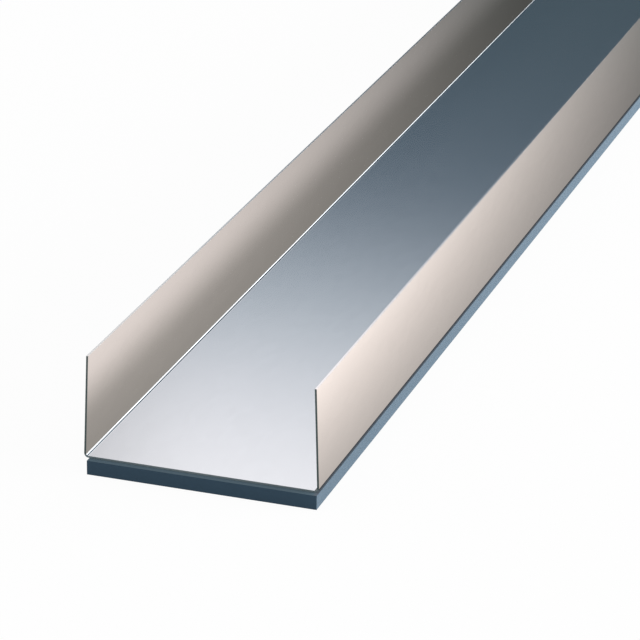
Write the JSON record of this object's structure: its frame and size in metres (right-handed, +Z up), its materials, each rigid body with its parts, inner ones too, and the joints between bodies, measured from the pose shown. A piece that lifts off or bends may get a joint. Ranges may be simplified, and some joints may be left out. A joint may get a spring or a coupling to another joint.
{
  "type": "drywall track",
  "caption": "Thin galvanised steel channel with toed-in flanges and a foam sealing strip stuck under its web, which holds the ends of partition studs on a floor or ceiling.",
  "frame": {"origin": "on the floor under the middle of the track, at the centre of the box round the whole part", "axes": "+X across the track, +Y along its length, +Z up out of the open side of the channel"},
  "size_m": [0.072, 3.004, 0.0364],
  "materials": {
    "galvanised_sheet": "hot-dip galvanised, smooth, slightly satin",
    "foam": "closed-cell foam, slate blue, matte"
  },
  "bodies": {
    "root": {"track": "galvanised_sheet", "sealing_strip": "foam"}
  },
  "joints": []
}
